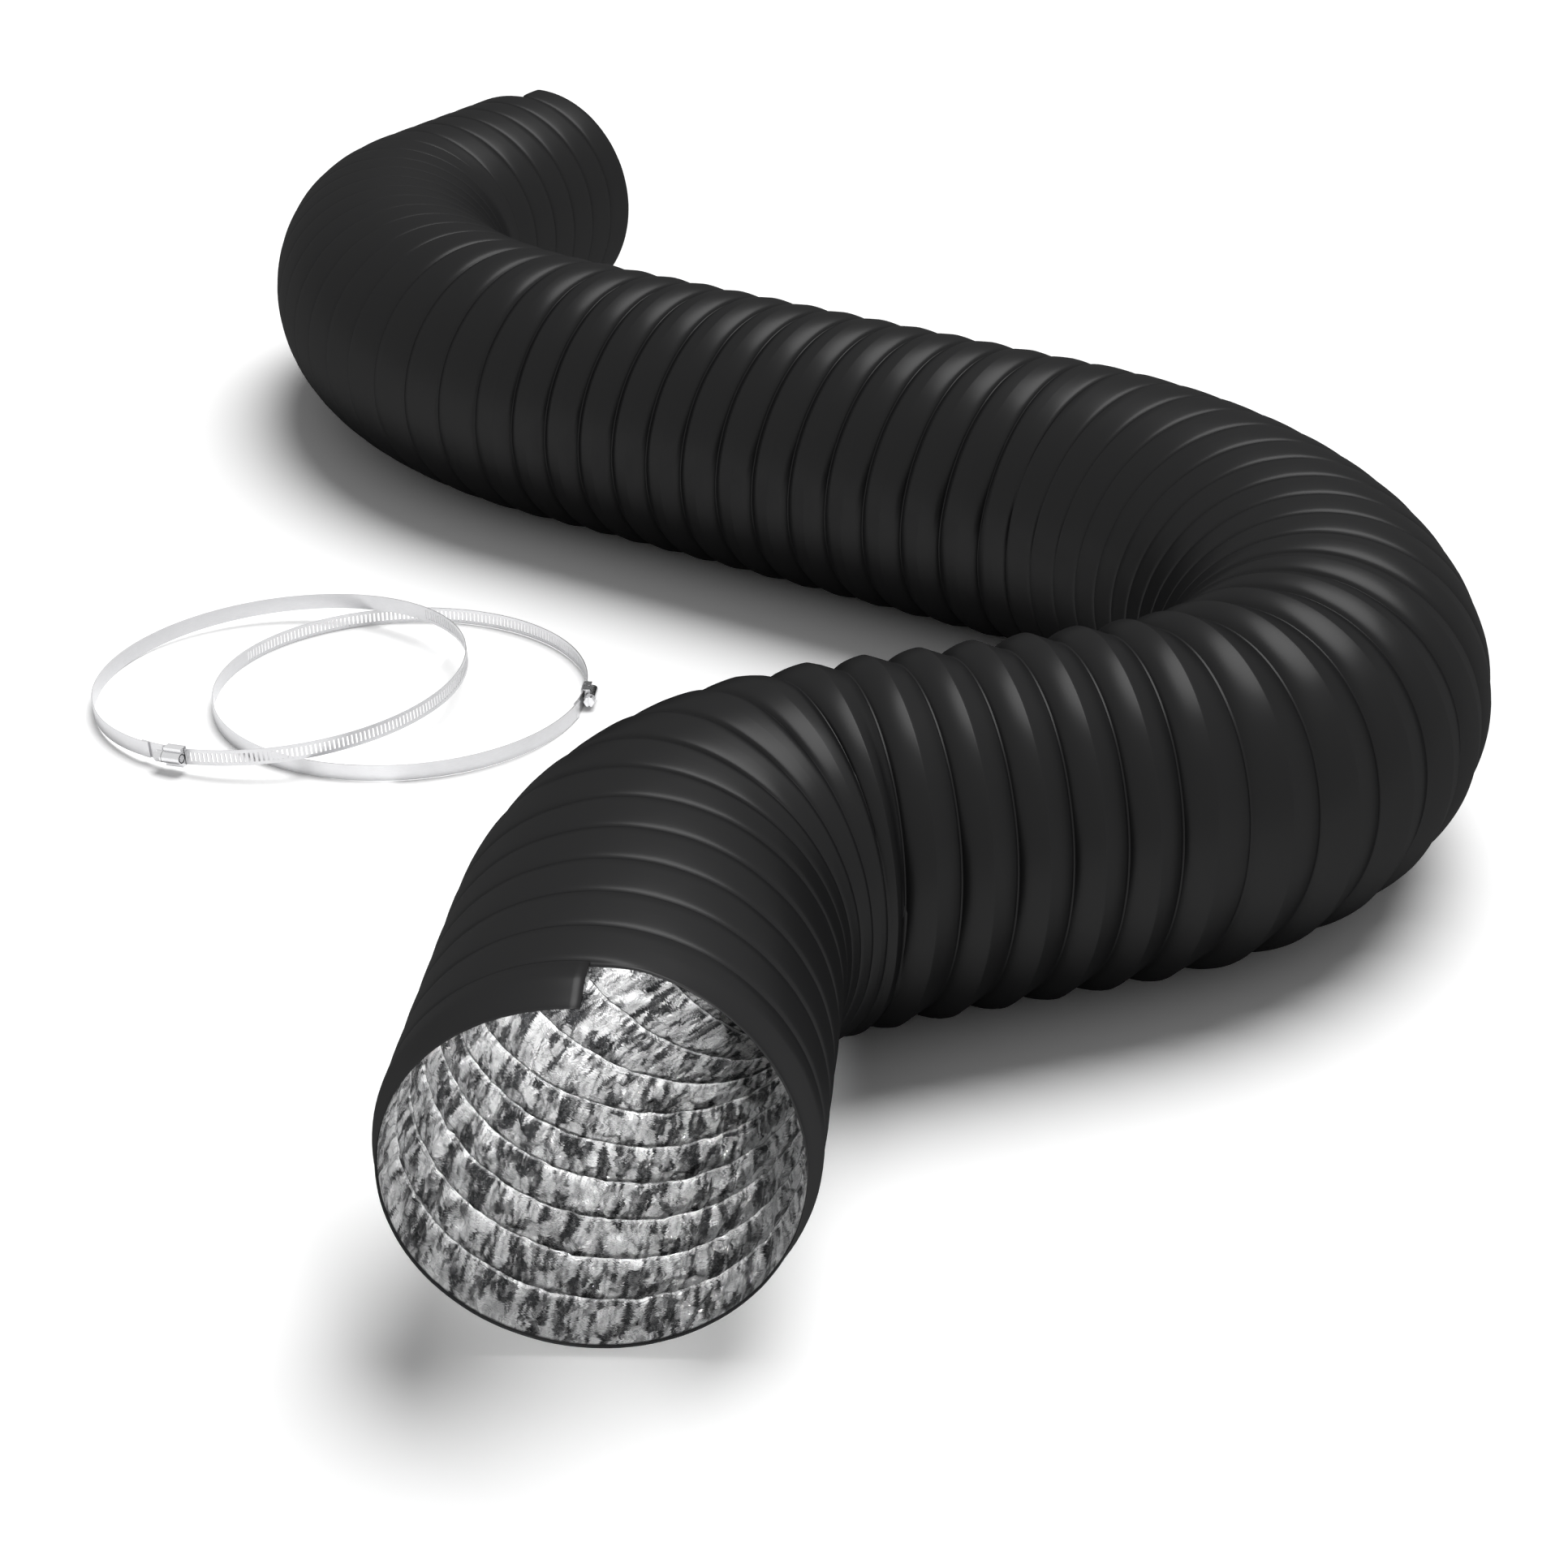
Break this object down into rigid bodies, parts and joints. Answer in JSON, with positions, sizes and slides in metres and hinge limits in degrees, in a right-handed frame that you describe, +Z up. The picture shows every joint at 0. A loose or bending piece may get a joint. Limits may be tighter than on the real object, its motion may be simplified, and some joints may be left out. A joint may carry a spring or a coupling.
{
  "type": "flexible air duct",
  "caption": "Black ribbed flexible air duct with a crumpled foil bore, laid in an S, and loose worm-drive band clamps beside it.",
  "frame": {"origin": "on the floor under the middle of the box round duct and clamps", "axes": "+Z up from the floor, X along the long straight run, +Y towards the rear mouth, the front mouth facing between +X and -Y"},
  "size_m": [1.067, 1.088, 0.1655],
  "materials": {
    "black_film": "satin black PVC film",
    "foil": "crumpled bright foil",
    "spring_wire": "drawn",
    "band_steel": "satin rolled",
    "screw_steel": "bright plated"
  },
  "bodies": {
    "long_run": {"long_run_jacket": "black_film", "long_run_liner": "foil", "long_run_wire": "spring_wire", "bend_c_jacket": "black_film", "bend_c_liner": "foil", "bend_c_wire": "spring_wire"},
    "front_section": {"bend_b_jacket": "black_film", "bend_b_liner": "foil", "bend_b_wire": "spring_wire"},
    "short_run": {"short_run_jacket": "black_film", "short_run_liner": "foil", "short_run_wire": "spring_wire", "bend_a_jacket": "black_film", "bend_a_liner": "foil", "bend_a_wire": "spring_wire"},
    "front_end": {"front_jacket": "black_film", "front_liner": "foil", "front_wire": "spring_wire"},
    "rear_end": {"rear_jacket": "black_film", "rear_liner": "foil", "rear_wire": "spring_wire"},
    "clamp_2": {"clamp_2_band": "band_steel", "clamp_2_housing": "screw_steel", "clamp_2_saddle": "screw_steel"},
    "clamp_1": {"clamp_1_band": "band_steel", "clamp_1_housing": "screw_steel", "clamp_1_saddle": "screw_steel"},
    "clamp_2_screw": {"clamp_2_screw": "screw_steel"},
    "clamp_1_screw": {"clamp_1_screw": "screw_steel"}
  },
  "joints": [
    {"name": "stretch", "type": "slide", "parent": "long_run", "child": "front_section", "axis": [1, 0, 0], "range_m": [-0.08, 0.1], "deforming": ["long_run_jacket", "long_run_liner", "long_run_wire"]},
    {"name": "large_swing", "type": "hinge", "parent": "front_section", "child": "short_run", "pos_m": [0.29141, -0.02849, 0.0825], "axis": [0, 0, 1], "range_deg": [-10, 15], "deforming": ["bend_b_jacket", "bend_b_liner", "bend_b_wire"]},
    {"name": "front_swing", "type": "hinge", "parent": "short_run", "child": "front_end", "pos_m": [0.42586, -0.3112, 0.0825], "axis": [0, 0, 1], "range_deg": [-15, 15], "deforming": ["bend_a_jacket", "bend_a_liner", "bend_a_wire"]},
    {"name": "rear_swing", "type": "hinge", "parent": "long_run", "child": "rear_end", "pos_m": [-0.14168, 0.51045, 0.0825], "axis": [0, 0, 1], "range_deg": [-12, 12], "deforming": ["bend_c_jacket", "bend_c_liner", "bend_c_wire"]},
    {"name": "clamp_2_lift", "type": "slide", "parent": "long_run", "child": "clamp_2", "axis": [0, 0, 1], "range_m": [0, 0.15]},
    {"name": "clamp_1_lift", "type": "slide", "parent": "clamp_2", "child": "clamp_1", "axis": [0, 0, 1], "range_m": [0, 0.15]},
    {"name": "clamp_2_screw_turn", "type": "hinge", "parent": "clamp_2", "child": "clamp_2_screw", "pos_m": [0.04139, -0.04467, 0.00532], "axis": [0.5, -0.866, 0], "continuous": true},
    {"name": "clamp_1_screw_turn", "type": "hinge", "parent": "clamp_1", "child": "clamp_1_screw", "pos_m": [-0.08946, -0.23788, 0.00928], "axis": [-0.9797, -0.1897, -0.0654], "continuous": true}
  ]
}
